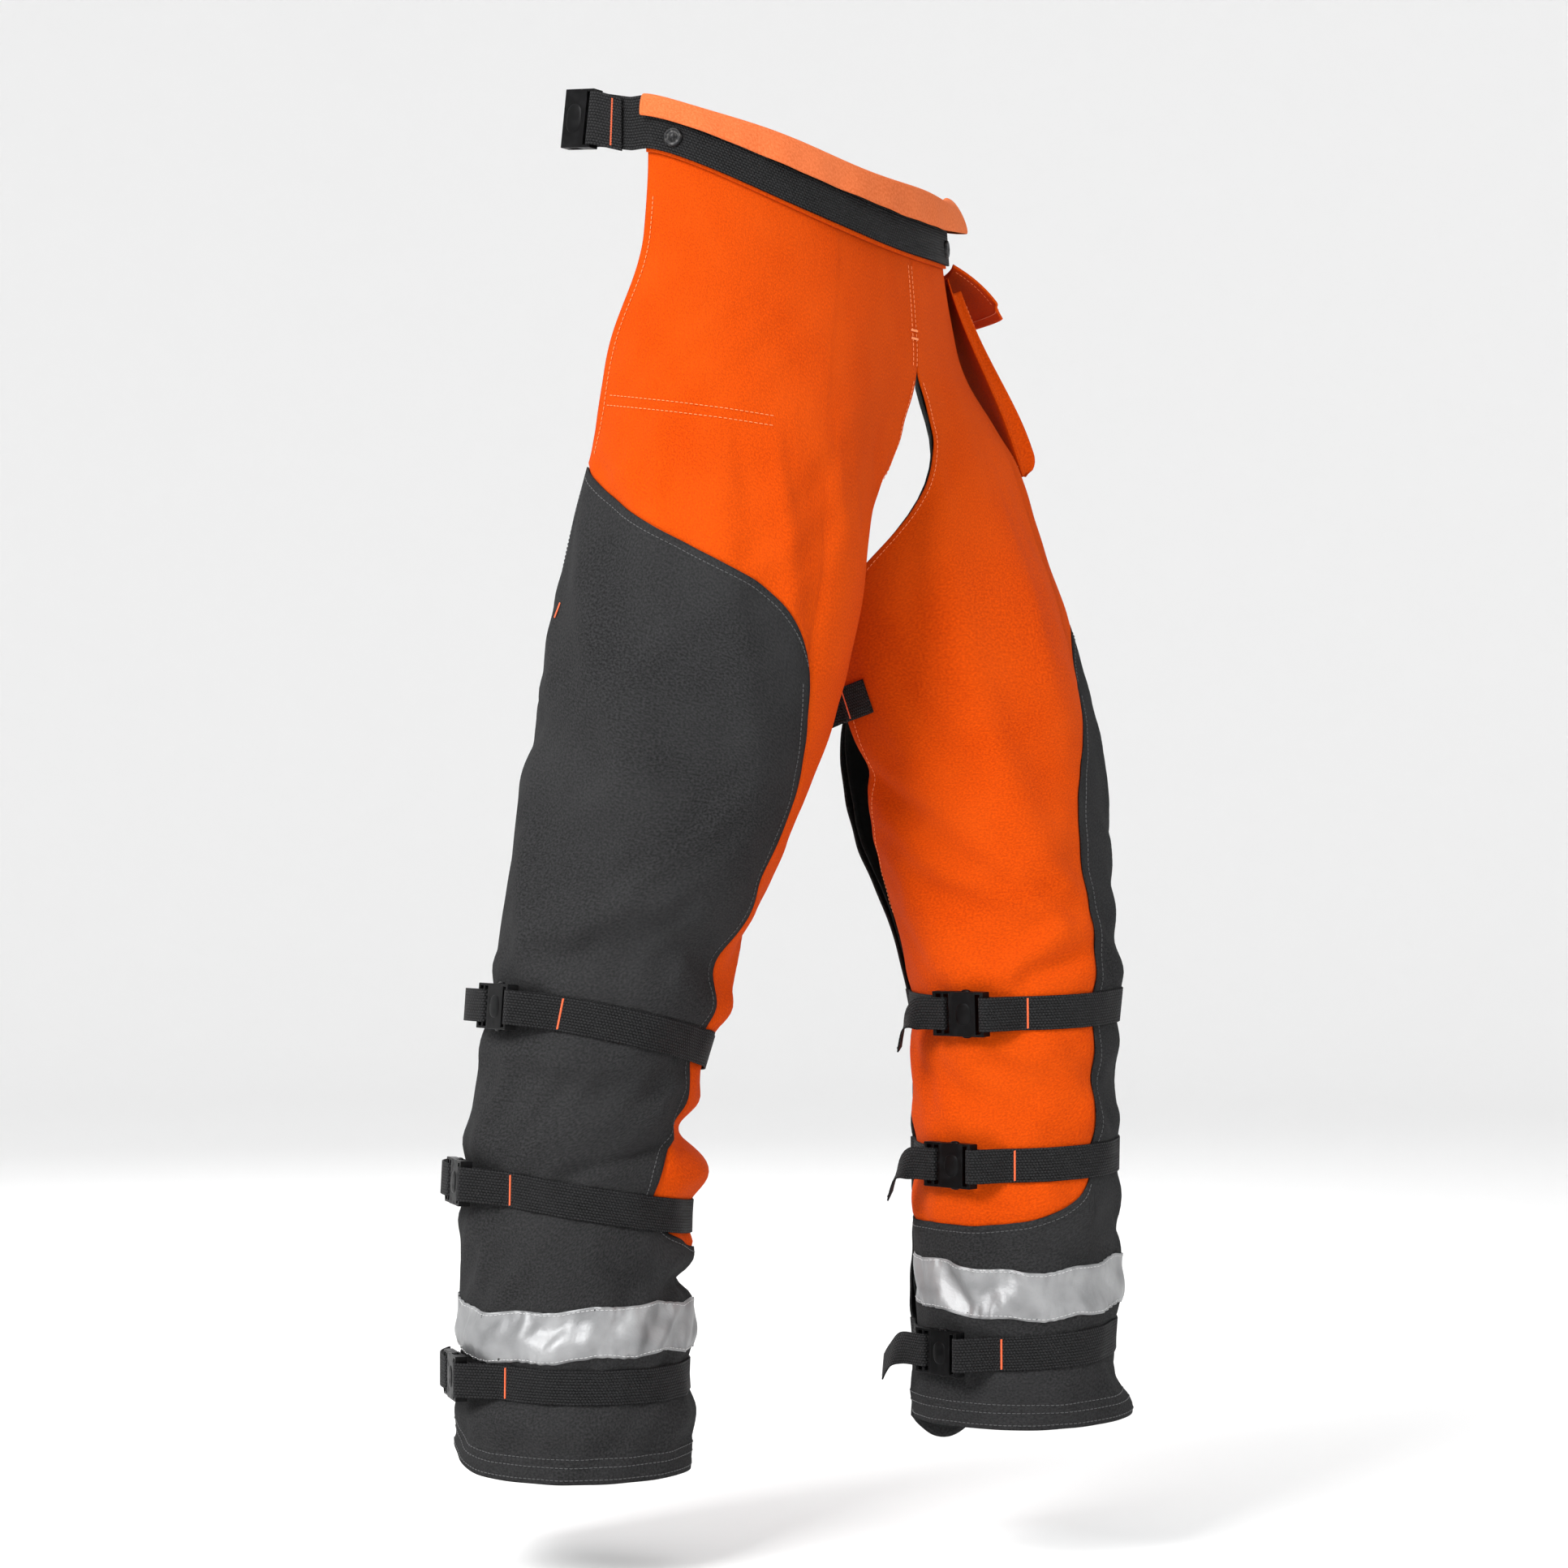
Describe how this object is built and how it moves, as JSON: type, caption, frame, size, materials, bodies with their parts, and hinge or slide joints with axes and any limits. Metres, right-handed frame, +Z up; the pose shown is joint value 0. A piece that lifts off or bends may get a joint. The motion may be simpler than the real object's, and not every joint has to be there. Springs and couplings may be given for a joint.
{
  "type": "chainsaw chaps",
  "caption": "Apron-wrap chainsaw chaps: padded orange and grey leg protectors hung from a belt, each leg closed at the back by buckled webbing straps.",
  "frame": {"origin": "middle of the waist opening, at the height of the belt's lower edge on the hips", "axes": "+Z up the wearer, -Y the way the wearer faces, +X the wearer's left"},
  "size_m": [0.4406, 0.4586, 1.0061],
  "materials": {
    "orange_cloth": "matt woven polyester shell",
    "fold_cloth": "matt woven tape, a lighter orange",
    "grey_cloth": "matt heavy woven shell",
    "black_webbing": "ribbed polypropylene webbing",
    "buckle_plastic": "moulded acetal, fine grain",
    "silver_band": "retroreflective tape",
    "lining_cloth": "smooth thin lining",
    "pad_fibre": "loose layered protective fibre",
    "stud_metal": "dark lacquered press stud cap"
  },
  "bodies": {
    "waist": {"right_hip_panel": "orange_cloth", "left_hip_panel": "orange_cloth", "waistband": "orange_cloth", "top_fold": "fold_cloth", "waist_belt": "black_webbing", "waist_socket": "buckle_plastic", "right_stud": "stud_metal", "front_stud": "stud_metal", "left_stud": "stud_metal", "pocket": "orange_cloth"},
    "right_leg": {"right_hip_fold": "orange_cloth", "right_front_panel": "orange_cloth", "right_outer_panel": "grey_cloth", "right_protection_pad": "pad_fibre", "right_lining": "lining_cloth", "right_reflective_band": "silver_band", "right_calf_1_socket": "buckle_plastic", "right_calf_1_webbing": "black_webbing", "right_calf_2_socket": "buckle_plastic", "right_calf_2_webbing": "black_webbing", "right_calf_3_socket": "buckle_plastic", "right_calf_3_webbing": "black_webbing", "right_thigh_socket": "buckle_plastic", "right_thigh_webbing": "black_webbing", "right_thigh_anchor": "black_webbing"},
    "left_leg": {"left_hip_fold": "orange_cloth", "left_front_panel": "orange_cloth", "left_outer_panel": "grey_cloth", "left_protection_pad": "pad_fibre", "left_lining": "lining_cloth", "left_reflective_band": "silver_band", "left_calf_1_socket": "buckle_plastic", "left_calf_1_webbing": "black_webbing", "left_calf_2_socket": "buckle_plastic", "left_calf_2_webbing": "black_webbing", "left_calf_3_socket": "buckle_plastic", "left_calf_3_webbing": "black_webbing", "left_thigh_socket": "buckle_plastic", "left_thigh_webbing": "black_webbing", "left_thigh_anchor": "black_webbing"},
    "right_calf_1_plug": {"right_calf_1_plug": "buckle_plastic", "right_calf_1_tail": "black_webbing"},
    "right_calf_2_plug": {"right_calf_2_plug": "buckle_plastic", "right_calf_2_tail": "black_webbing"},
    "right_calf_3_plug": {"right_calf_3_plug": "buckle_plastic", "right_calf_3_tail": "black_webbing"},
    "right_thigh_plug": {"right_thigh_plug": "buckle_plastic", "right_thigh_tail": "black_webbing"},
    "left_calf_1_plug": {"left_calf_1_plug": "buckle_plastic", "left_calf_1_tail": "black_webbing"},
    "left_calf_2_plug": {"left_calf_2_plug": "buckle_plastic", "left_calf_2_tail": "black_webbing"},
    "left_calf_3_plug": {"left_calf_3_plug": "buckle_plastic", "left_calf_3_tail": "black_webbing"},
    "left_thigh_plug": {"left_thigh_plug": "buckle_plastic", "left_thigh_tail": "black_webbing"},
    "waist_plug": {"waist_plug": "buckle_plastic", "waist_tail": "black_webbing"},
    "pocket_flap": {"pocket_flap": "orange_cloth"}
  },
  "joints": [
    {"name": "right_leg_swing", "type": "hinge", "parent": "waist", "child": "right_leg", "pos_m": [0, -0.132, -0.138], "axis": [-1, 0, 0], "range_deg": [-13, 40], "deforming": ["right_hip_fold"]},
    {"name": "left_leg_swing", "type": "hinge", "parent": "waist", "child": "left_leg", "pos_m": [0, -0.132, -0.138], "axis": [-1, 0, 0], "range_deg": [-20, 26], "deforming": ["left_hip_fold"]},
    {"name": "right_calf_1_release", "type": "slide", "parent": "right_leg", "child": "right_calf_1_plug", "axis": [0.4453, 0.8954, 0], "range_m": [0, 0.022]},
    {"name": "right_calf_2_release", "type": "slide", "parent": "right_leg", "child": "right_calf_2_plug", "axis": [0.6489, 0.7608, 0], "range_m": [0, 0.022]},
    {"name": "right_calf_3_release", "type": "slide", "parent": "right_leg", "child": "right_calf_3_plug", "axis": [0.675, 0.7379, 0], "range_m": [0, 0.022]},
    {"name": "right_thigh_release", "type": "slide", "parent": "right_leg", "child": "right_thigh_plug", "axis": [0.8195, -0.573, 0], "range_m": [0, 0.022]},
    {"name": "left_calf_1_release", "type": "slide", "parent": "left_leg", "child": "left_calf_1_plug", "axis": [0.1154, 0.9933, 0], "range_m": [0, 0.022]},
    {"name": "left_calf_2_release", "type": "slide", "parent": "left_leg", "child": "left_calf_2_plug", "axis": [0.2311, 0.9729, 0], "range_m": [0, 0.022]},
    {"name": "left_calf_3_release", "type": "slide", "parent": "left_leg", "child": "left_calf_3_plug", "axis": [0.3435, 0.9392, 0], "range_m": [0, 0.022]},
    {"name": "left_thigh_release", "type": "slide", "parent": "left_leg", "child": "left_thigh_plug", "axis": [0.811, 0.5851, 0], "range_m": [0, 0.022]},
    {"name": "waist_length", "type": "slide", "parent": "waist", "child": "waist_plug", "axis": [-0.1569, 0.9806, 0.1177], "range_m": [0, 0.04]},
    {"name": "pocket_flap_hinge", "type": "hinge", "parent": "waist", "child": "pocket_flap", "pos_m": [0.15335, -0.06461, -0.05019], "axis": [-0.6273, -0.7787, 0], "range_deg": [-6, 100]}
  ]
}
